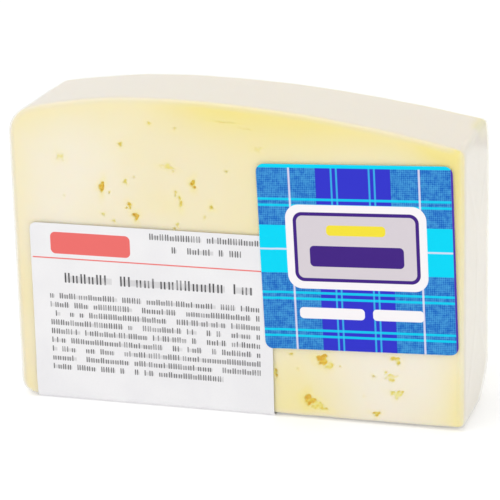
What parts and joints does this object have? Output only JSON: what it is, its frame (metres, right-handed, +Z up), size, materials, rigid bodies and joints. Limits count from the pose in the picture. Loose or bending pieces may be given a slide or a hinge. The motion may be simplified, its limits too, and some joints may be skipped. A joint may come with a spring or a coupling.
{
  "type": "wrapped cheese portion",
  "caption": "Upright slice of semi-hard cheese with a curved rind top and small eyes, wrapped in clear film and closed by a folded price label and a square checked sticker.",
  "frame": {"origin": "middle of the bounding box at its base, on the surface the portion stands on", "axes": "+X along the width towards the worn lower corner, +Y from the labelled cut face to the back cut face, +Z up"},
  "size_m": [0.1066, 0.0284, 0.0733],
  "materials": {
    "cheese": "moist waxy cut face, pale cream, yellower towards the pale rind",
    "clear_film": "thin clear glossy wrapping film",
    "label_paper": "smooth white thermal paper with grey print marks",
    "printed_label": "coated paper printed with a blue and turquoise check"
  },
  "bodies": {
    "root": {"cheese": "cheese", "film_wrap": "clear_film", "price_label": "label_paper", "square_label": "printed_label"}
  },
  "joints": []
}
